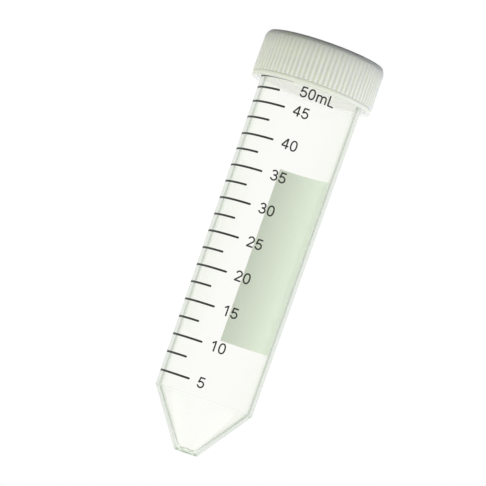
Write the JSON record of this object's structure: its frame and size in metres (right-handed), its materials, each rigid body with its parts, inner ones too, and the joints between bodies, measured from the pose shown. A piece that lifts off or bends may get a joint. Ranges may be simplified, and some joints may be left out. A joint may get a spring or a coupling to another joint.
{
  "type": "50 ml conical tube",
  "caption": "Clear conical centrifuge tube closed by a white ribbed screw cap, standing on the flat top of its cap with the tip up.",
  "frame": {"origin": "centre of the cap's flat top, on which the closed tube stands", "axes": "+Z along the tube's axis, from the cap's flat top to the conical tip; +X to the printed graduations"},
  "size_m": [0.0346, 0.0344, 0.1165],
  "materials": {
    "cap": "moulded white polyethylene, satin",
    "liner": "white foamed polyethylene",
    "tube": "clear moulded polypropylene with printed marks"
  },
  "bodies": {
    "cap": {"cap": "cap"},
    "liner": {"cap_liner": "liner"},
    "tube": {"tube": "tube"}
  },
  "joints": [
    {"name": "tube_turn", "type": "hinge", "parent": "cap", "child": "liner", "pos_m": [0, 0, 0.0013], "axis": [0, 0, 1], "range_deg": [0, 1440]},
    {"name": "tube_lift", "type": "slide", "parent": "liner", "child": "tube", "axis": [0, 0, 1], "range_m": [0, 0.0128]}
  ],
  "couplings": [
    {"joint": "tube_turn", "follows": "tube_lift", "rad_per_m": 1963.5}
  ]
}
